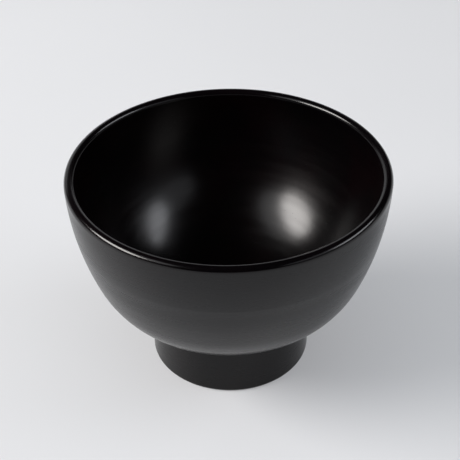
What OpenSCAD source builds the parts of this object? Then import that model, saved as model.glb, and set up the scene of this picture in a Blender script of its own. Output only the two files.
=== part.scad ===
// Footed soup bowl of turned wood under built-up lacquer.
// Millimetres, +Z up, origin at the middle of the ring that the foot rests on.

/* [Bowl] */
// Outer diameter at the rim
rim_d = 115; // [105:1:130]
// Height from the table to the top of the rim
bowl_h = 80; // [74:1:90]
// Radius of the rim's outer shoulder
shoulder_r = 1.9; // [1.4:0.1:2.4]
// Radius of the rim's inner edge
rim_edge_r = 1.9; // [1.4:0.1:2.4]
// Lean of the wall from upright just under the rim, in degrees
wall_lean = 1.5; // [0:0.5:4]
// Thickness of the finished wall at the belly
belly_t = 8; // [6:0.1:9]
// Thickness of the finished bottom at the middle
bottom_t = 8.5; // [6:0.5:10]

/* [Foot] */
// Outer diameter of the foot on the table
foot_d = 60; // [54:1:66]
// How much less the foot measures across where it meets the bowl
foot_taper = 2; // [0:0.5:4]
// Height of the foot, from the table to the bowl
foot_h = 20; // [17:0.5:23]
// Rounding of the foot's two lower edges
foot_edge_r = 1; // [0.8:0.1:1.4]
// Thickness of the finished foot where it meets the bowl
foot_t = 5; // [4.5:0.1:7]
// Draft of the foot's inner wall, in degrees
foot_draft = 7; // [4:0.5:9]
// Depth of the hollow under the bowl
well_h = 14; // [11:0.5:15]

/* [Lacquer work] */
// Thickness of the top lacquer
lacquer_t = 0.15; // [0.1:0.05:0.25]
// Thickness of the ground coat over the cloth
ground_t = 0.2; // [0.1:0.05:0.25]
// Thickness of the hemp cloth
cloth_t = 0.2; // [0.1:0.05:0.25]
// Thickness of the glue between the foot ring and the bowl
glue_t = 0.15; // [0.1:0.05:0.3]
// Height of the cloth band over the rim
rim_cloth_h = 9; // [6:1:14]
// Diameter of the cloth disc inside the bottom
base_cloth_d = 62; // [58:1:74]
// Height of the cloth band round the foot's resting edge
foot_cloth_h = 7; // [4:1:9]
// Radius of the filled corner between foot and bowl
foot_cove_r = 1.2; // [0.6:0.1:2]
// Radius of the filled corner in the hollow under the bowl
well_cove_r = 1.6; // [0.8:0.1:2.4]

/* [Hidden] */
$fn = 240;

// Farthest that the steps of an arc stray from the arc itself
arc_tolerance = 0.005;

// Depths below the finished surface at which the cloth and the wood begin
cloth_depth = lacquer_t + ground_t;
wood_depth = cloth_depth + cloth_t;

rim_r = rim_d / 2;
shoulder_c = [rim_r - shoulder_r, bowl_h - shoulder_r];
rim_edge_c = [rim_r - shoulder_r, bowl_h - rim_edge_r];
foot_r = foot_d / 2;
foot_top_r = foot_r - foot_taper / 2;
foot_lean = atan((foot_r - foot_top_r) / foot_h);
bore_r = foot_top_r - foot_t;
boss_r = bore_r - glue_t;
boss_z = well_h + wood_depth;
floor_z = well_h + bottom_t;

// The outer wall changes curve at the belly and at the hip. Each place is a share
// of the way out from the foot to the rim, and of the way up from the foot to the rim.
belly_share = [0.745, 0.365];
hip_share = [0.445, 0.155];

// Share of the inside's turn, from the middle to the belly, that the dished bottom takes
dish_share = 0.3;

// An arc is [centre, radius, first angle, last angle, side]. Side is 1 where the bowl lies
// inside the arc, and -1 where it lies outside. The arcs run in one line, smoothly joined:
// from the middle of the inside, over the lip, down the wall and round the foot.
convex = 1;
hollow = -1;

belly_point = at_share(belly_share);
hip_point = at_share(hip_share);
rim_edge = [rim_edge_c, rim_edge_r, 180 - wall_lean, 90, convex];
shoulder = [shoulder_c, shoulder_r, 90, -wall_lean, convex];
lip_arcs = [rim_edge, shoulder];
outer_wall = arc_to(shoulder_c + shoulder_r * dir(-wall_lean), -wall_lean, belly_point, convex);
outer_belly = arc_to(belly_point, outer_wall[3], hip_point, convex);
whole_hip = arc_to(hip_point, outer_belly[3], [foot_top_r, foot_h], convex);
hip_c = whole_hip[0];
hip_r = whole_hip[1];

inner_belly_point = belly_point - belly_t * dir(outer_wall[3]);
inner_wall = flipped(
    arc_to(rim_edge_c - rim_edge_r * dir(-wall_lean), -wall_lean, inner_belly_point, hollow)
);
turn = arc_above_floor(inner_belly_point, inner_wall[2], -90 + dish_share * (90 + inner_wall[2]));
dish_r = turn[1] + turn[0][0] / cos(turn[2]);
dish = [[0, floor_z + dish_r], dish_r, -90, turn[2], hollow];

// The corner under the bowl, and the edges and the corner of the foot
foot_cove_c = on_foot_line(-foot_cove_r, hip_r + foot_cove_r);
cove_angle = angle_of(foot_cove_c - hip_c);
cove_middle = 180 + (cove_angle + foot_lean) / 2;
hip = [hip_c, hip_r, whole_hip[2], cove_angle, convex];
upper_cove = [foot_cove_c, foot_cove_r, 180 + cove_angle, cove_middle, hollow];
lower_cove = [foot_cove_c, foot_cove_r, cove_middle, 180 + foot_lean, hollow];
outer_edge_c = [foot_side_x(foot_edge_r, foot_edge_r), foot_edge_r];
inner_edge_c = [well_side_x(foot_edge_r, foot_edge_r), foot_edge_r];
outer_edge = [outer_edge_c, foot_edge_r, foot_lean, -90, convex];
inner_edge = [inner_edge_c, foot_edge_r, -90, foot_draft - 180, convex];
well_cove_z = well_h - well_cove_r;
well_cove_c = [well_side_x(-well_cove_r, well_cove_z), well_cove_z];
well_cove = [well_cove_c, well_cove_r, foot_draft, 90, hollow];

// The wooden ring seats where its wall meets the turned underside of the bowl
seat_point = on_foot_line(wood_depth, hip_r - wood_depth);
seat_z = seat_point[1];
ring_top_z = seat_z - glue_t;
hip_tip = [hip_c, hip_r, cove_angle, angle_of(seat_point - hip_c), convex];

// The cloth ends part of the way along three of the arcs
rim_cloth_z = bowl_h - rim_cloth_h;
outer_wall_parts = split(outer_wall, angle_at_height(outer_wall, rim_cloth_z));
inner_wall_parts = split(inner_wall, angle_at_height(inner_wall, rim_cloth_z));
turn_parts = split(turn, -acos((base_cloth_d / 2 - turn[0][0]) / turn[1]));

base_arcs = [dish, turn_parts[0]];
inner_bare_arcs = [turn_parts[1], inner_wall_parts[0]];
inner_rim_arc = inner_wall_parts[1];
outer_rim_arc = outer_wall_parts[0];
outer_bare_arcs = [outer_wall_parts[1], outer_belly, hip];
inner_arcs = concat(base_arcs, inner_bare_arcs, [inner_rim_arc]);
rim_arcs = concat([inner_rim_arc], lip_arcs, [outer_rim_arc]);
outer_arcs = concat(lip_arcs, [outer_rim_arc], outer_bare_arcs, [upper_cove]);

function dir(angle) = [cos(angle), sin(angle)];
function angle_of(v) = atan2(v[1], v[0]);

function at_share(share) = [
    foot_top_r + share[0] * (rim_r - foot_top_r),
    foot_h + share[1] * (bowl_h - foot_h)
];

// The arc that leaves point a square to the angle and ends at point b
function arc_to(a, angle, b, side) =
    let (
        step = b - a,
        r = -(step * step) / (2 * (dir(angle) * step)),
        c = a - r * dir(angle)
    )
    [c, r, angle, angle_of(b - c), side];

function flipped(arc) = [arc[0], arc[1], arc[3], arc[2], arc[4]];

// The arc that falls from point a, square to the angle there, to where it lies square to the
// lower angle and meets an arc that is level at the middle of the floor
function arc_above_floor(a, angle, lower) =
    let (
        slope = tan(45 + lower / 2),
        r = (a[1] - floor_z - a[0] * slope) / (1 + sin(angle) - slope * cos(angle))
    )
    [a - r * dir(angle), r, lower, angle, hollow];

function angle_at_height(arc, z) = asin((z - arc[0][1]) / arc[1]);

function split(arc, angle) = [
    [arc[0], arc[1], arc[2], angle, arc[4]],
    [arc[0], arc[1], angle, arc[3], arc[4]]
];

// Where the foot's walls stand at a height, at a depth below the finished surface
function foot_side_x(depth, z) = foot_r - z * tan(foot_lean) - depth / cos(foot_lean);
function well_side_x(depth, z) =
    bore_r + (boss_z - z) * tan(foot_draft) - (wood_depth - depth) / cos(foot_draft);
function foot_side(depth, z) = [foot_side_x(depth, z), z];
function well_side(depth, z) = [well_side_x(depth, z), z];

// The point on the foot's outer wall at a depth, at a distance from the hip's centre
function on_foot_line(depth, distance) =
    let (
        up = dir(90 + foot_lean),
        away = foot_side(depth, 0) - hip_c,
        along = away * up
    )
    hip_c + away - (along + sqrt(along * along - away * away + distance * distance)) * up;

// Points along arcs in line, at a depth below the finished surface
function steps(arc) =
    max(1, ceil(abs(arc[3] - arc[2]) / (2 * acos(1 - arc_tolerance / arc[1]))));

function arc_point(arc, depth, share) =
    arc[0] + (arc[1] - arc[4] * depth) * dir(arc[2] + (arc[3] - arc[2]) * share);

function run(arcs, depth) = [
    for (k = [0:len(arcs) - 1])
        for (i = [(k == 0 ? 0 : 1):steps(arcs[k])])
            arc_point(arcs[k], depth, i / steps(arcs[k]))
];

function back(points) = [for (i = [len(points) - 1:-1:0]) points[i]];

// A coat along arcs in line, between two depths
module coat(arcs, from, to) {
    polygon(concat(run(arcs, from), back(run(arcs, to))));
}

module bowl_core() {
    color("burlywood") rotate_extrude() polygon(concat(
        run(concat(inner_arcs, lip_arcs, [outer_rim_arc], outer_bare_arcs, [hip_tip]), wood_depth),
        [[boss_r, seat_z], [boss_r, boss_z], [0, boss_z]]
    ));
}

module foot_ring() {
    color("tan") rotate_extrude() polygon(concat(
        [[bore_r, ring_top_z], foot_side(wood_depth, ring_top_z)],
        [foot_side(wood_depth, foot_cloth_h)],
        run([outer_edge], wood_depth), run([inner_edge], wood_depth),
        [well_side(wood_depth, foot_cloth_h), [bore_r, boss_z]]
    ));
}

module foot_glue() {
    color("saddlebrown") rotate_extrude() polygon([
        [boss_r, boss_z], [bore_r, boss_z], [bore_r, ring_top_z],
        foot_side(wood_depth, ring_top_z), seat_point, [boss_r, seat_z]
    ]);
}

module rim_cloth() {
    color("wheat") rotate_extrude() coat(rim_arcs, cloth_depth, wood_depth);
}

module base_cloth() {
    color("wheat") rotate_extrude() coat(base_arcs, cloth_depth, wood_depth);
}

module foot_cloth() {
    color("wheat") rotate_extrude() polygon(concat(
        foot_cloth_face(cloth_depth), back(foot_cloth_face(wood_depth))
    ));
}

function foot_cloth_face(depth) = concat(
    [foot_side(depth, foot_cloth_h)],
    run([outer_edge], depth), run([inner_edge], depth),
    [well_side(depth, foot_cloth_h)]
);

// The ground coat is thinner over the cloth, so that its surface lies level
module inner_ground() {
    color("dimgray") rotate_extrude() polygon(concat(
        run(inner_arcs, lacquer_t),
        back(run([inner_rim_arc], cloth_depth)),
        back(run(inner_bare_arcs, wood_depth)),
        back(run(base_arcs, cloth_depth))
    ));
}

module outer_ground() {
    color("dimgray") rotate_extrude() polygon(concat(
        run(outer_arcs, lacquer_t),
        back(run(concat(outer_bare_arcs, [hip_tip]), wood_depth)),
        back(run(concat(lip_arcs, [outer_rim_arc]), cloth_depth))
    ));
}

module foot_ground() {
    color("dimgray") rotate_extrude() polygon(concat(
        run([lower_cove], lacquer_t),
        run([outer_edge], lacquer_t), run([inner_edge], lacquer_t),
        run([well_cove], lacquer_t), [[0, well_h + lacquer_t]],
        [[0, boss_z], [bore_r, boss_z], well_side(wood_depth, foot_cloth_h)],
        back(foot_cloth_face(cloth_depth)),
        [foot_side(wood_depth, foot_cloth_h), foot_side(wood_depth, ring_top_z), seat_point]
    ));
}

module inner_lacquer() {
    color([0.03, 0.025, 0.03]) rotate_extrude() coat(inner_arcs, 0, lacquer_t);
}

module outer_lacquer() {
    color([0.06, 0.055, 0.06]) rotate_extrude() coat(outer_arcs, 0, lacquer_t);
}

function foot_face(depth) = concat(
    run([lower_cove], depth), run([outer_edge], depth), run([inner_edge], depth)
);

module foot_lacquer() {
    color([0.06, 0.055, 0.06]) rotate_extrude()
        polygon(concat(foot_face(0), back(foot_face(lacquer_t))));
}

function well_face(depth) = concat(
    [arc_point(inner_edge, depth, 1)],
    run([well_cove], depth),
    [[0, well_h + depth]]
);

module well_lacquer() {
    color([0.05, 0.045, 0.05]) rotate_extrude()
        polygon(concat(well_face(0), back(well_face(lacquer_t))));
}

bowl_core();
foot_ring();
foot_glue();
rim_cloth();
base_cloth();
foot_cloth();
inner_ground();
outer_ground();
foot_ground();
inner_lacquer();
outer_lacquer();
foot_lacquer();
well_lacquer();
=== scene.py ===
import math

import bpy
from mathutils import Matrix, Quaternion, Vector


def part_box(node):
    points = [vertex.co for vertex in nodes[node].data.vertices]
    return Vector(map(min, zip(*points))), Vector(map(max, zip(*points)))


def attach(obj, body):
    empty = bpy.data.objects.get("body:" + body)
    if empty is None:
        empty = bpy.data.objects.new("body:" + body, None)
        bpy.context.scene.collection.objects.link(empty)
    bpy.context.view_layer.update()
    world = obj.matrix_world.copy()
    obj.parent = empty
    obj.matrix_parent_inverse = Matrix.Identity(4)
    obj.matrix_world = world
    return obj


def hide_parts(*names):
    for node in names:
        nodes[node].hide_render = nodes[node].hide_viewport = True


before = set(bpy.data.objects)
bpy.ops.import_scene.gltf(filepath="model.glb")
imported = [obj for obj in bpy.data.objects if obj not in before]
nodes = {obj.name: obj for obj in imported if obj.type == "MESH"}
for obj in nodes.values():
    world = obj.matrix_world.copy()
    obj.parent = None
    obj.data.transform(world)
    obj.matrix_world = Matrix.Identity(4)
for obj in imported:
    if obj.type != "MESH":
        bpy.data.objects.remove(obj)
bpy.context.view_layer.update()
print("frame loaded:", len(nodes), "nodes")

# Node helpers. Every value is in metres or degrees unless a name says otherwise.


def addNode(tree, kind, sockets=None, **settings):
    node = tree.nodes.new(kind)
    for key, value in settings.items():
        setattr(node, key, value)
    for key, value in (sockets or {}).items():
        if isinstance(value, bpy.types.NodeSocket):
            tree.links.new(value, node.inputs[key])
        else:
            node.inputs[key].default_value = value
    return node


def addMath(tree, operation, first, second=0.0):
    return addNode(tree, "ShaderNodeMath", {0: first, 1: second}, operation=operation).outputs[0]


def mapRange(tree, value, low, high, toLow=0.0, toHigh=1.0):
    ends = {"Value": value, "From Min": low, "From Max": high, "To Min": toLow, "To Max": toHigh}
    return addNode(tree, "ShaderNodeMapRange", ends, interpolation_type="SMOOTHSTEP").outputs["Result"]


def mixColours(tree, share, first, second):
    mix = addNode(tree, "ShaderNodeMix", data_type="RGBA")
    for socket, value in ((mix.inputs[0], share), (mix.inputs[6], first), (mix.inputs[7], second)):
        if isinstance(value, bpy.types.NodeSocket):
            tree.links.new(value, socket)
        else:
            socket.default_value = value
    return mix.outputs[2]


def newGroup(name, inputs, outputs):
    tree = bpy.data.node_groups.new(name, "ShaderNodeTree")
    for label, kind, value in inputs:
        tree.interface.new_socket(label, in_out="INPUT", socket_type=kind).default_value = value
    for label, kind in outputs:
        tree.interface.new_socket(label, in_out="OUTPUT", socket_type=kind)
    return tree, tree.nodes.new("NodeGroupInput").outputs, tree.nodes.new("NodeGroupOutput").inputs


def useGroup(tree, group, sockets):
    return addNode(tree, "ShaderNodeGroup", sockets, node_tree=group).outputs


def newFinish(name):
    material = bpy.data.materials.new(name)
    material.use_nodes = True
    tree = material.node_tree
    return material, tree, tree.nodes["Principled BSDF"].inputs


def bumpFrom(tree, height, depth):
    return addNode(tree, "ShaderNodeBump", {"Height": height, "Distance": depth}).outputs["Normal"]


def colour(red, green, blue):
    return (red, green, blue, 1.0)


# Effects that several finishes share

number = "NodeSocketFloat"
shade = "NodeSocketColor"
place = "NodeSocketVector"
effectShape = {
    "traceRoughness": 0.5,
    "mottleDetail": 4.0,
    "mottleRoughness": 0.55,
    "lineEdge": (0.66, 0.74),
    "patchScale": 90.0,
    "patchEdge": (0.45, 0.70),
    "speckEdge": (0.10, 0.22),
}


# Coordinates that run round the axis of turning and along the wall's profile
def buildTurnedSpace():
    tree, given, result = newGroup("turnedSpace", [("Around", number, 4.0), ("Across", number, 400.0)],
                                   [("Vector", place)])
    spot = addNode(tree, "ShaderNodeTexCoord").outputs["Object"]
    parts = addNode(tree, "ShaderNodeSeparateXYZ", {0: spot}).outputs
    flat = addNode(tree, "ShaderNodeCombineXYZ", {"X": parts["X"], "Y": parts["Y"]}).outputs[0]
    radius = addNode(tree, "ShaderNodeVectorMath", {0: flat}, operation="LENGTH").outputs["Value"]
    heading = addNode(tree, "ShaderNodeVectorMath", {0: flat}, operation="NORMALIZE").outputs["Vector"]
    turned = addNode(tree, "ShaderNodeVectorMath", {0: heading, "Scale": given["Around"]}, operation="SCALE")
    along = addMath(tree, "MULTIPLY", addMath(tree, "ADD", parts["Z"], radius), given["Across"])
    lifted = addNode(tree, "ShaderNodeCombineXYZ", {"Z": along}).outputs[0]
    total = addNode(tree, "ShaderNodeVectorMath", {0: turned.outputs[0], 1: lifted}, operation="ADD")
    tree.links.new(total.outputs[0], result["Vector"])
    return tree


# Long low ripples that a brush or a turning tool leaves round the bowl
def buildTurningTrace(turnedSpace):
    tree, given, result = newGroup(
        "turningTrace",
        [("Around", number, 2.0), ("Across", number, 300.0), ("Detail", number, 3.0)],
        [("Height", number)],
    )
    where = useGroup(tree, turnedSpace, {"Around": given["Around"], "Across": given["Across"]})["Vector"]
    noise = addNode(tree, "ShaderNodeTexNoise", {"Vector": where, "Scale": 1.0, "Detail": given["Detail"],
                                                 "Roughness": effectShape["traceRoughness"]})
    tree.links.new(noise.outputs["Fac"], result["Height"])
    return tree


# Cloudy change from one colour to another
def buildMottle():
    tree, given, result = newGroup(
        "mottle",
        [("First", shade, colour(0, 0, 0)), ("Second", shade, colour(1, 1, 1)),
         ("Scale", number, 40.0), ("Low", number, 0.35), ("High", number, 0.65)],
        [("Color", shade), ("Mask", number)],
    )
    spot = addNode(tree, "ShaderNodeTexCoord").outputs["Object"]
    noise = addNode(tree, "ShaderNodeTexNoise",
                    {"Vector": spot, "Scale": given["Scale"], "Detail": effectShape["mottleDetail"],
                     "Roughness": effectShape["mottleRoughness"]})
    mask = mapRange(tree, noise.outputs["Fac"], given["Low"], given["High"])
    tree.links.new(mixColours(tree, mask, given["First"], given["Second"]), result["Color"])
    tree.links.new(mask, result["Mask"])
    return tree


# Sparse hairlines from wiping, most of them round the bowl
def buildHairlines(turnedSpace):
    tree, given, result = newGroup(
        "hairlines",
        [("Around", number, 30.0), ("Across", number, 5000.0), ("Amount", number, 0.1)],
        [("Mask", number)],
    )
    where = useGroup(tree, turnedSpace, {"Around": given["Around"], "Across": given["Across"]})["Vector"]
    fine = addNode(tree, "ShaderNodeTexNoise", {"Vector": where, "Scale": 1.0, "Detail": 1.0})
    spot = addNode(tree, "ShaderNodeTexCoord").outputs["Object"]
    patch = addNode(tree, "ShaderNodeTexNoise",
                    {"Vector": spot, "Scale": effectShape["patchScale"], "Detail": 2.0})
    lines = mapRange(tree, fine.outputs["Fac"], *effectShape["lineEdge"])
    patches = mapRange(tree, patch.outputs["Fac"], *effectShape["patchEdge"])
    mask = addMath(tree, "MULTIPLY", addMath(tree, "MULTIPLY", lines, patches), given["Amount"])
    tree.links.new(mask, result["Mask"])
    return tree


# Tiny specks, such as dust that settled in the last coat
def buildSpecks():
    tree, given, result = newGroup(
        "specks", [("Scale", number, 500.0), ("Share", number, 0.02)], [("Mask", number)])
    spot = addNode(tree, "ShaderNodeTexCoord").outputs["Object"]
    cells = addNode(tree, "ShaderNodeTexVoronoi", {"Vector": spot, "Scale": given["Scale"]})
    near = mapRange(tree, cells.outputs["Distance"], *effectShape["speckEdge"], 1.0, 0.0)
    pick = addNode(tree, "ShaderNodeSeparateColor", {0: cells.outputs["Color"]}).outputs[0]
    chosen = addMath(tree, "LESS_THAN", pick, given["Share"])
    tree.links.new(addMath(tree, "MULTIPLY", near, chosen), result["Mask"])
    return tree


turnedSpace = buildTurnedSpace()
turningTrace = buildTurningTrace(turnedSpace)
mottle = buildMottle()
hairlines = buildHairlines(turnedSpace)
specks = buildSpecks()
print("shared effects built")

# Lacquer finishes. The trace range is the part of the ripples' noise that changes the gloss.

lacquerGrain = {
    "cloudScale": 35.0,
    "traceAround": 1.5,
    "traceAcross": 260.0,
    "traceRange": (0.3, 0.7),
    "speckScale": 420.0,
    "speckHeight": 1.6,
}
insideFinish = {
    "deep": colour(0.0011, 0.0007, 0.0009),
    "warm": colour(0.0022, 0.0007, 0.0010),
    "roughness": (0.21, 0.25),
    "bend": 1.4,
    "hairlines": 0.06,
    "rippleDepth": 0.000009,
    "speckShare": 0.004,
}
outsideFinish = {
    "deep": colour(0.0014, 0.0009, 0.0013),
    "warm": colour(0.0022, 0.0012, 0.0017),
    "roughness": (0.24, 0.29),
    "bend": 1.4,
    "hairlines": 0.08,
    "rippleDepth": 0.000007,
    "speckShare": 0.006,
    "ring": {"top": 0.0610, "edge": 0.0005, "foot": 0.0555, "shine": 0.12, "roughness": 0.28},
    "lip": {"foot": 0.0755, "top": 0.0785, "share": 0.65},
}
footWear = {
    "worn": colour(0.012, 0.008, 0.006),
    "top": 0.0006,
    "roughness": 0.45,
    "bend": 1.35,
}


def lacquerFinish(name, look, wear=None):
    material, tree, surface = newFinish(name)
    grain = lacquerGrain
    tint = useGroup(tree, mottle, {"First": look["deep"], "Second": look["warm"],
                                   "Scale": grain["cloudScale"]})
    trace = useGroup(tree, turningTrace,
                     {"Around": grain["traceAround"], "Across": grain["traceAcross"]})["Height"]
    wiped = useGroup(tree, hairlines, {"Amount": look["hairlines"]})["Mask"]
    dust = useGroup(tree, specks, {"Scale": grain["speckScale"], "Share": look["speckShare"]})["Mask"]
    gloss = mapRange(tree, trace, *grain["traceRange"], *look["roughness"])
    roughness = addMath(tree, "ADD", gloss, wiped)
    base = tint["Color"]
    spot = addNode(tree, "ShaderNodeTexCoord").outputs["Object"]
    height = addNode(tree, "ShaderNodeSeparateXYZ", {0: spot}).outputs["Z"]
    if "ring" in look:
        ring = look["ring"]
        above = mapRange(tree, height, ring["top"], ring["top"] + ring["edge"], 1.0, 0.0)
        below = mapRange(tree, height, ring["foot"], ring["top"])
        band = addMath(tree, "MULTIPLY", addMath(tree, "MULTIPLY", above, below), ring["shine"])
        tree.links.new(band, surface["Coat Weight"])
        surface["Coat Roughness"].default_value = ring["roughness"]
    if "lip" in look:
        lip = look["lip"]
        share = mapRange(tree, height, lip["foot"], lip["top"], 1.0, lip["share"])
        roughness = addMath(tree, "MULTIPLY", roughness, share)
    if wear:
        patchy = addMath(tree, "MULTIPLY", tint["Mask"], wear["top"])
        rubbed = mapRange(tree, addMath(tree, "SUBTRACT", height, patchy), 0.0, wear["top"], 1.0, 0.0)
        base = mixColours(tree, rubbed, base, wear["worn"])
        roughness = addMath(tree, "MAXIMUM", roughness, addMath(tree, "MULTIPLY", rubbed, wear["roughness"]))
    tree.links.new(base, surface["Base Color"])
    tree.links.new(roughness, surface["Roughness"])
    bumps = addMath(tree, "ADD", trace, addMath(tree, "MULTIPLY", dust, grain["speckHeight"]))
    tree.links.new(bumpFrom(tree, bumps, look["rippleDepth"]), surface["Normal"])
    surface["IOR"].default_value = (wear or look)["bend"]
    return material


insideLacquer = lacquerFinish("insideLacquer", insideFinish)
outsideLacquer = lacquerFinish("outsideLacquer", outsideFinish)
footLacquer = lacquerFinish("footLacquer", outsideFinish, footWear)

# Finishes of what the lacquer covers

waveLines = 6.0  # light and dark lines, about, that a wave texture of scale 1 makes in one metre
woodLook = {
    "early": colour(0.62, 0.46, 0.29),
    "late": colour(0.40, 0.25, 0.13),
    "linesPerMetre": 260.0,
    "ringBend": 0.02,
    "ringBendScale": 12.0,
    "ringDistortion": 1.5,
    "poreStretch": (900.0, 60.0, 900.0),
    "poreEdge": (0.6, 0.7),
    "toolAround": 3.0,
    "toolAcross": 1400.0,
    "roughness": (0.55, 0.70),
    "toolDepth": 0.00005,
}
clothLook = {
    "thread": colour(0.60, 0.51, 0.36),
    "oldThread": colour(0.48, 0.40, 0.28),
    "gap": colour(0.16, 0.11, 0.07),
    "linesPerMetre": 900.0,
    "distortion": 0.6,
    "cloudScale": 120.0,
    "roughness": (0.90, 0.75),
    "weaveDepth": 0.0001,
}
groundLook = {
    "earth": colour(0.10, 0.085, 0.075),
    "grit": colour(0.17, 0.15, 0.13),
    "gritScale": 700.0,
    "gritDepth": 0.00002,
    "rubAround": 20.0,
    "rubAcross": 2500.0,
    "rubAmount": 0.2,
    "roughness": 0.85,
}
glueLook = {
    "thin": colour(0.22, 0.12, 0.06),
    "thick": colour(0.10, 0.05, 0.03),
    "cloudScale": 150.0,
    "pitScale": 900.0,
    "pitShare": 0.15,
    "pitDepth": 0.00003,
    "roughness": (0.45, 0.65),
}


def woodFinish():
    material, tree, surface = newFinish("turnedWood")
    spot = addNode(tree, "ShaderNodeTexCoord").outputs["Object"]
    bent = addNode(tree, "ShaderNodeTexNoise",
                   {"Vector": spot, "Scale": woodLook["ringBendScale"], "Detail": 2.0}).outputs["Color"]
    shifted = addNode(tree, "ShaderNodeVectorMath", {0: bent, "Scale": woodLook["ringBend"]},
                      operation="SCALE").outputs[0]
    moved = addNode(tree, "ShaderNodeVectorMath", {0: spot, 1: shifted}, operation="ADD").outputs[0]
    rings = addNode(tree, "ShaderNodeTexWave",
                    {"Vector": moved, "Scale": woodLook["linesPerMetre"] / waveLines,
                     "Distortion": woodLook["ringDistortion"], "Detail": 2.0},
                    wave_type="BANDS", bands_direction="X").outputs["Fac"]
    stretch = addNode(tree, "ShaderNodeMapping",
                      {"Vector": spot, "Scale": woodLook["poreStretch"]}).outputs[0]
    pores = addNode(tree, "ShaderNodeTexNoise",
                    {"Vector": stretch, "Scale": 1.0, "Detail": 2.0}).outputs["Fac"]
    dark = mapRange(tree, pores, *woodLook["poreEdge"])
    grain = mixColours(tree, rings, woodLook["early"], woodLook["late"])
    tree.links.new(mixColours(tree, dark, grain, woodLook["late"]), surface["Base Color"])
    trace = useGroup(tree, turningTrace,
                     {"Around": woodLook["toolAround"], "Across": woodLook["toolAcross"]})["Height"]
    roughness = mapRange(tree, trace, *lacquerGrain["traceRange"], *woodLook["roughness"])
    tree.links.new(roughness, surface["Roughness"])
    tree.links.new(bumpFrom(tree, trace, woodLook["toolDepth"]), surface["Normal"])
    return material


def clothFinish():
    material, tree, surface = newFinish("hempCloth")
    scale = clothLook["linesPerMetre"] / waveLines
    spot = addNode(tree, "ShaderNodeTexCoord").outputs["Object"]
    wave = {"Vector": spot, "Scale": scale, "Distortion": clothLook["distortion"]}
    threads = [addNode(tree, "ShaderNodeTexWave", wave, bands_direction=way).outputs["Fac"]
               for way in ("X", "Y")]
    weave = addMath(tree, "MAXIMUM", *threads)
    tint = useGroup(tree, mottle, {"First": clothLook["thread"], "Second": clothLook["oldThread"],
                                   "Scale": clothLook["cloudScale"]})["Color"]
    tree.links.new(mixColours(tree, weave, clothLook["gap"], tint), surface["Base Color"])
    roughness = mapRange(tree, weave, 0.0, 1.0, *clothLook["roughness"])
    tree.links.new(roughness, surface["Roughness"])
    tree.links.new(bumpFrom(tree, weave, clothLook["weaveDepth"]), surface["Normal"])
    return material


def groundFinish():
    material, tree, surface = newFinish("groundCoat")
    tint = useGroup(tree, mottle, {"First": groundLook["earth"], "Second": groundLook["grit"],
                                   "Scale": groundLook["gritScale"]})
    rubbed = useGroup(tree, hairlines, {"Around": groundLook["rubAround"], "Across": groundLook["rubAcross"],
                                        "Amount": groundLook["rubAmount"]})["Mask"]
    tree.links.new(tint["Color"], surface["Base Color"])
    tree.links.new(addMath(tree, "SUBTRACT", groundLook["roughness"], rubbed), surface["Roughness"])
    tree.links.new(bumpFrom(tree, tint["Mask"], groundLook["gritDepth"]), surface["Normal"])
    return material


def glueFinish():
    material, tree, surface = newFinish("lacquerGlue")
    tint = useGroup(tree, mottle, {"First": glueLook["thin"], "Second": glueLook["thick"],
                                   "Scale": glueLook["cloudScale"]})
    pits = useGroup(tree, specks, {"Scale": glueLook["pitScale"], "Share": glueLook["pitShare"]})["Mask"]
    tree.links.new(tint["Color"], surface["Base Color"])
    roughness = mapRange(tree, tint["Mask"], 0.0, 1.0, *glueLook["roughness"])
    tree.links.new(roughness, surface["Roughness"])
    tree.links.new(bumpFrom(tree, pits, glueLook["pitDepth"]), surface["Normal"])
    return material


covered = (
    (woodFinish(), ("bowl_core", "foot_ring")),
    (clothFinish(), ("rim_cloth", "base_cloth", "foot_cloth")),
    (groundFinish(), ("inner_ground", "outer_ground", "foot_ground")),
    (glueFinish(), ("foot_glue",)),
)
for material, names in covered:
    for name in names:
        for materialSlot in nodes[name].material_slots:
            materialSlot.material = material
print("finishes built")

# The turned profile, as arcs of (centre, radius, first angle, last angle, side).
# Side is 1 where the bowl lies inside the arc and -1 where it lies outside.

coat = {
    "thickness": 0.00015,
    "segments": 256,
    "angleStep": 3.0,
    "lengthStep": 0.002,
    "sameSpot": 1e-7,
    "digits": 8,
}
bowl = {
    "rimRadius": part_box("outer_lacquer")[1].x,
    "height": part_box("outer_lacquer")[1].z,
    "floor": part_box("inner_lacquer")[0].z + coat["thickness"],
    "shoulderRadius": 0.0019,
    "innerEdgeRadius": 0.0019,
    "wallLean": 1.5,
    "bellyShare": (0.745, 0.365),
    "hipShare": (0.445, 0.155),
    "bellyThickness": 0.008,
    "dishShare": 0.3,
}
foot = {
    "radius": 0.030,
    "topRadius": 0.029,
    "height": 0.020,
    "edgeRadius": 0.001,
    "coveRadius": 0.0012,
    "wallTop": 0.005,
    "draft": 7.0,
    "well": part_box("well_lacquer")[1].z - coat["thickness"],
    "wellCoveRadius": 0.0016,
    "coats": 0.00055,
}


def toward(angle):
    return Vector((math.cos(math.radians(angle)), math.sin(math.radians(angle))))


def angleOf(step):
    return math.degrees(math.atan2(step.y, step.x))


# The arc that leaves start square to the angle and ends at the point end
def arcTo(start, angle, end, side):
    step = end - start
    radius = -step.length_squared / (2 * toward(angle).dot(step))
    centre = start - radius * toward(angle)
    return centre, radius, angle, angleOf(end - centre), side


def flipped(arc):
    centre, radius, first, last, side = arc
    return centre, radius, last, first, side


# The arc that falls from a point, square to the angle there, to where it lies square to the
# lower angle and meets an arc that is level at the middle of the floor
def arcAboveFloor(point, angle, lower):
    slope = math.tan(math.radians(45 + lower / 2))
    across, upward = toward(angle)
    radius = (point.y - bowl["floor"] - point.x * slope) / (1 + upward - slope * across)
    return point - radius * toward(angle), radius, lower, angle, -1


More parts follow.
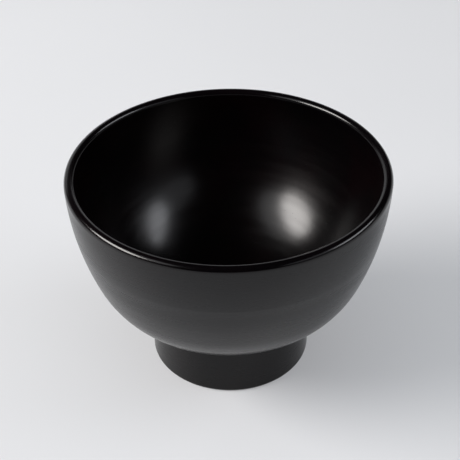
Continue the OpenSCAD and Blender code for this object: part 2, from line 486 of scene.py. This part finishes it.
def atShare(share):
    return Vector((
        foot["topRadius"] + share[0] * (bowl["rimRadius"] - foot["topRadius"]),
        foot["height"] + share[1] * (bowl["height"] - foot["height"]),
    ))


def bowlArcs():
    lean = -bowl["wallLean"]
    outer, inner = bowl["shoulderRadius"], bowl["innerEdgeRadius"]
    shoulderCentre = Vector((bowl["rimRadius"] - outer, bowl["height"] - outer))
    edgeCentre = Vector((bowl["rimRadius"] - outer, bowl["height"] - inner))
    belly = atShare(bowl["bellyShare"])
    hip = atShare(bowl["hipShare"])
    wall = arcTo(shoulderCentre + outer * toward(lean), lean, belly, 1)
    bellyArc = arcTo(belly, wall[3], hip, 1)
    hipArc = arcTo(hip, bellyArc[3], Vector((foot["topRadius"], foot["height"])), 1)
    innerBelly = belly - bowl["bellyThickness"] * toward(wall[3])
    innerWall = flipped(arcTo(edgeCentre - inner * toward(lean), lean, innerBelly, -1))
    turn = arcAboveFloor(innerBelly, innerWall[2], -90 + bowl["dishShare"] * (90 + innerWall[2]))
    dishRadius = turn[1] + turn[0].x / toward(turn[2]).x
    dish = (Vector((0.0, bowl["floor"] + dishRadius)), dishRadius, -90.0, turn[2], -1)
    innerEdge = (edgeCentre, inner, 180.0 + lean, 90.0, 1)
    shoulder = (shoulderCentre, outer, 90.0, lean, 1)
    return {"dish": dish, "turn": turn, "innerWall": innerWall, "rimEdge": innerEdge,
            "shoulder": shoulder, "wall": wall, "belly": bellyArc, "hip": hipArc}


def footSide(depth, height, lean):
    return Vector((foot["radius"] - height * math.tan(lean) - depth / math.cos(lean), height))


def wellSide(depth, height):
    draft = math.radians(foot["draft"])
    coats = foot["coats"]
    bore = foot["topRadius"] - foot["wallTop"]
    rise = foot["well"] + coats - height
    return Vector((bore + rise * math.tan(draft) - (coats - depth) / math.cos(draft), height))


def footArcs(hip):
    hipCentre, hipRadius = hip[0], hip[1]
    cove, edge, wellCove = foot["coveRadius"], foot["edgeRadius"], foot["wellCoveRadius"]
    lean = math.atan((foot["radius"] - foot["topRadius"]) / foot["height"])
    leanAngle = math.degrees(lean)
    upward = toward(90 + leanAngle)
    away = footSide(-cove, 0.0, lean) - hipCentre
    along = away.dot(upward)
    reach = hipRadius + cove
    back = along + math.sqrt(along ** 2 - away.length_squared + reach ** 2)
    coveCentre = hipCentre + away - back * upward
    coveAngle = angleOf(coveCentre - hipCentre)
    middle = 180 + (coveAngle + leanAngle) / 2
    wellCoveHeight = foot["well"] - wellCove
    return {
        "hip": (hipCentre, hipRadius, hip[2], coveAngle, 1),
        "upperCove": (coveCentre, cove, 180 + coveAngle, middle, -1),
        "lowerCove": (coveCentre, cove, middle, 180 + leanAngle, -1),
        "outerEdge": (footSide(edge, edge, lean), edge, leanAngle, -90.0, 1),
        "innerEdge": (wellSide(edge, edge), edge, -90.0, foot["draft"] - 180.0, 1),
        "wellCove": (wellSide(-wellCove, wellCoveHeight), wellCove, foot["draft"], 90.0, -1),
    }


# Points along arcs in line, each with the direction that faces out of the bowl
def pointsAlong(arcs):
    points = []
    for centre, radius, first, last, side in arcs:
        turned = abs(last - first)
        length = radius * math.radians(turned)
        count = math.ceil(max(turned / coat["angleStep"], length / coat["lengthStep"]))
        for index in range(count + 1):
            direction = toward(first + (last - first) * index / count)
            points.append((centre + radius * direction, side * direction))
    joined = points[:1]
    for point in points[1:]:
        if (point[0] - joined[-1][0]).length > coat["sameSpot"]:
            joined.append(point)
    return joined


# A coat of even thickness under a line of arcs, turned round the axis
def turnCoat(name, points, material, slotName, *replaced):
    segments, sameSpot, digits = coat["segments"], coat["sameSpot"], coat["digits"]
    back = [(spot - coat["thickness"] * out, -out) for spot, out in reversed(points)]
    sides = list(zip(points, points[1:])) + list(zip(back, back[1:]))
    for start, end in ((points[-1][0], back[0][0]), (back[-1][0], points[0][0])):
        step = end - start
        out = Vector((step.y, -step.x)).normalized()
        sides.append(((start, out), (end, out)))
    area = sum(start[0].x * end[0].y - end[0].x * start[0].y for start, end in sides)
    vertices = []
    found = {}
    faces = []
    normals = []

    def vertexAt(spot, index):
        onAxis = spot.x < sameSpot
        key = (round(spot.x, digits), round(spot.y, digits), 0 if onAxis else index % segments)
        if key not in found:
            angle = 2 * math.pi * key[2] / segments
            found[key] = len(vertices)
            vertices.append((spot.x * math.cos(angle), spot.x * math.sin(angle), spot.y))
        return found[key]

    for (start, startOut), (end, endOut) in sides:
        if start.x < sameSpot and end.x < sameSpot:
            continue
        for index in range(segments):
            corners = [(start, startOut, index), (start, startOut, index + 1),
                       (end, endOut, index + 1), (end, endOut, index)]
            if start.x < sameSpot:
                corners.pop(1)
            if end.x < sameSpot:
                corners.pop(2)
            if area < 0:
                corners.reverse()
            faces.append([vertexAt(spot, turn) for spot, out, turn in corners])
            for spot, out, turn in corners:
                angle = 2 * math.pi * turn / segments
                normals.append((out.x * math.cos(angle), out.x * math.sin(angle), out.y))
    mesh = bpy.data.meshes.new(name)
    mesh.from_pydata(vertices, [], faces, shade_flat=False)
    mesh.normals_split_custom_set(normals)
    mesh.materials.append(material)
    piece = bpy.data.objects.new(name, mesh)
    bpy.context.scene.collection.objects.link(piece)
    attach(piece, "root")
    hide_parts(*replaced)
    print("turned", name, "with", len(faces), "faces")


arcs = bowlArcs()
feet = footArcs(arcs["hip"])
insidePoints = pointsAlong([arcs["dish"], arcs["turn"], arcs["innerWall"]])
outsidePoints = pointsAlong([arcs["rimEdge"], arcs["shoulder"], arcs["wall"], arcs["belly"],
                             feet["hip"], feet["upperCove"]])
footPoints = pointsAlong([feet["lowerCove"], feet["outerEdge"], feet["innerEdge"]])
wellPoints = pointsAlong([feet["innerEdge"]])[-1:] + pointsAlong([feet["wellCove"]])
wellPoints.append((Vector((0.0, foot["well"])), Vector((0.0, -1.0))))

turnCoat("insideCoat", insidePoints, insideLacquer, "inside_lacquer", "inner_lacquer")
turnCoat("outsideCoat", outsidePoints, outsideLacquer, "outside_lacquer", "outer_lacquer")
turnCoat("footCoat", footPoints, footLacquer, "outside_lacquer", "foot_lacquer")
turnCoat("wellCoat", wellPoints, outsideLacquer, "outside_lacquer", "well_lacquer")

# Studio: a wide pale floor, soft lamps and a dim room. Azimuths start at the back and run
# clockwise, seen from above. To what sees or mirrors it the floor also glows by itself: by the
# glow share up to the distance near, and wholly from the distance far.

floorLook = {
    "size": 24.0,
    "pale": colour(0.755, 0.76, 0.78),
    "shaded": colour(0.74, 0.745, 0.765),
    "cloudScale": 3.0,
    "roughness": 0.6,
    "glow": 0.35,
    "near": 0.6,
    "far": 1.4,
    # painted light: the floor's own glow is stronger at the left and weaker at the right, standing in for
    # the left softbox's light falling off across the floor
    "paintedSideLight": (1.15, 0.8),
}
lamps = {
    "leftSoftbox": {"azimuth": -96.5, "elevation": 37.0, "distance": 2.0, "size": (1.38, 0.66),
                    "power": 43.0, "tint": (1.0, 0.97, 0.94)},
    "leftSpill": {"azimuth": -112.0, "elevation": 46.0, "distance": 2.0, "size": (1.50, 0.95),
                  "power": 5.2, "tint": (0.97, 0.98, 1.0)},
    "rightSoftbox": {"azimuth": 86.0, "elevation": 35.0, "distance": 2.0, "size": (1.30, 0.54),
                     "power": 10.6, "tint": (0.93, 0.95, 1.0)},
    "rightSpill": {"azimuth": 117.0, "elevation": 34.0, "distance": 2.0, "size": (1.80, 0.70),
                   "power": 2.2, "tint": (0.93, 0.95, 1.0)},
    "backGlow": {"azimuth": -14.0, "elevation": 20.0, "distance": 2.0, "size": (2.40, 0.70),
                 "power": 3.0, "tint": (0.97, 0.98, 1.0)},
    "overhead": {"azimuth": 180.0, "elevation": 82.0, "distance": 1.6, "size": (1.60, 1.60),
                 "power": 8.3, "tint": (0.90, 0.96, 1.0), "mirrored": False},
}
roomLook = {
    "tint": colour(0.98, 0.985, 1.0),
    "level": 0.006,
    "haze": 0.72,
    "hazeFoot": 0.02,
    "hazeTop": 0.18,
}
shotCamera = {
    "place": (0.0, -0.3112, 0.2841),
    "aim": (0.0003, 0.0118, 0.0438),
    "roll": -0.74,
    "lens": 83.06,
    "nearest": 0.01,
}


# One where a ray from the camera, or one that is mirrored or goes through glass, arrives
def seenRays(tree):
    rays = addNode(tree, "ShaderNodeLightPath").outputs
    seen = addMath(tree, "MAXIMUM", rays["Is Camera Ray"], rays["Is Glossy Ray"])
    return addMath(tree, "MAXIMUM", seen, rays["Is Transmission Ray"])


def layFloor():
    half = floorLook["size"] / 2
    mesh = bpy.data.meshes.new("floor")
    corners = [(-half, -half, 0), (half, -half, 0), (half, half, 0), (-half, half, 0)]
    mesh.from_pydata(corners, [], [(0, 1, 2, 3)])
    material, tree, surface = newFinish("floorPaper")
    tint = useGroup(tree, mottle, {"First": floorLook["pale"], "Second": floorLook["shaded"],
                                   "Scale": floorLook["cloudScale"]})
    tree.links.new(tint["Color"], surface["Base Color"])
    surface["Roughness"].default_value = floorLook["roughness"]
    spot = addNode(tree, "ShaderNodeTexCoord").outputs["Object"]
    reach = addNode(tree, "ShaderNodeVectorMath", {0: spot}, operation="LENGTH").outputs["Value"]
    away = mapRange(tree, reach, floorLook["near"], floorLook["far"], floorLook["glow"], 1.0)
    side = addNode(tree, "ShaderNodeSeparateXYZ", {0: spot}).outputs["X"]
    # painted light: the glow's strength runs from brighter at the left to dimmer at the right, a painted
    # falloff of the left softbox that the bowl also mirrors
    level = mapRange(tree, side, -floorLook["far"], floorLook["far"], *floorLook["paintedSideLight"])
    glow = addNode(tree, "ShaderNodeEmission", {"Color": tint["Color"], "Strength": level}).outputs[0]
    output = tree.nodes["Material Output"]
    lit = tree.nodes["Principled BSDF"].outputs[0]
    share = addMath(tree, "MULTIPLY", away, seenRays(tree))
    mixed = addNode(tree, "ShaderNodeMixShader", {0: share, 1: lit, 2: glow})
    tree.links.new(mixed.outputs[0], output.inputs["Surface"])
    mesh.materials.append(material)
    floor = bpy.data.objects.new("floor", mesh)
    bpy.context.scene.collection.objects.link(floor)


def hangLamp(name, look):
    lamp = bpy.data.lights.new(name, "AREA")
    lamp.shape = "ELLIPSE"
    lamp.size, lamp.size_y = look["size"]
    lamp.color = look["tint"]
    lamp.energy = look["power"]
    holder = bpy.data.objects.new(name, lamp)
    bpy.context.scene.collection.objects.link(holder)
    azimuth, elevation = math.radians(look["azimuth"]), math.radians(look["elevation"])
    level = math.cos(elevation)
    direction = Vector((math.sin(azimuth) * level, math.cos(azimuth) * level, math.sin(elevation)))
    holder.location = look["distance"] * direction
    holder.rotation_euler = direction.to_track_quat("Z", "Y").to_euler()
    holder.visible_camera = False
    holder.visible_glossy = look.get("mirrored", True)


# The room is dark above the table, and pale at the horizon to whatever sees or mirrors it
def dimRoom():
    world = bpy.data.worlds.new("room")
    world.use_nodes = True
    tree = world.node_tree
    direction = addNode(tree, "ShaderNodeTexCoord").outputs["Generated"]
    rise = addNode(tree, "ShaderNodeSeparateXYZ", {0: direction}).outputs["Z"]
    haze = mapRange(tree, rise, roomLook["hazeFoot"], roomLook["hazeTop"], roomLook["haze"], 0.0)
    pale = addMath(tree, "MULTIPLY", haze, seenRays(tree))
    strength = addMath(tree, "ADD", pale, roomLook["level"])
    background = tree.nodes["Background"].inputs
    background["Color"].default_value = roomLook["tint"]
    tree.links.new(strength, background["Strength"])
    bpy.context.scene.world = world


def setCamera():
    lens = bpy.data.cameras.new("shotCamera")
    lens.lens = shotCamera["lens"]
    lens.clip_start = shotCamera["nearest"]
    holder = bpy.data.objects.new("shotCamera", lens)
    bpy.context.scene.collection.objects.link(holder)
    start = Vector(shotCamera["place"])
    heading = (Vector(shotCamera["aim"]) - start).to_track_quat("-Z", "Y")
    holder.location = start
    holder.rotation_mode = "QUATERNION"
    holder.rotation_quaternion = heading @ Quaternion((0, 0, 1), math.radians(shotCamera["roll"]))
    bpy.context.scene.camera = holder


layFloor()
for lampName, lampLook in lamps.items():
    hangLamp(lampName, lampLook)
dimRoom()
setCamera()
bpy.context.scene.view_settings.view_transform = "Standard"
print("studio set")
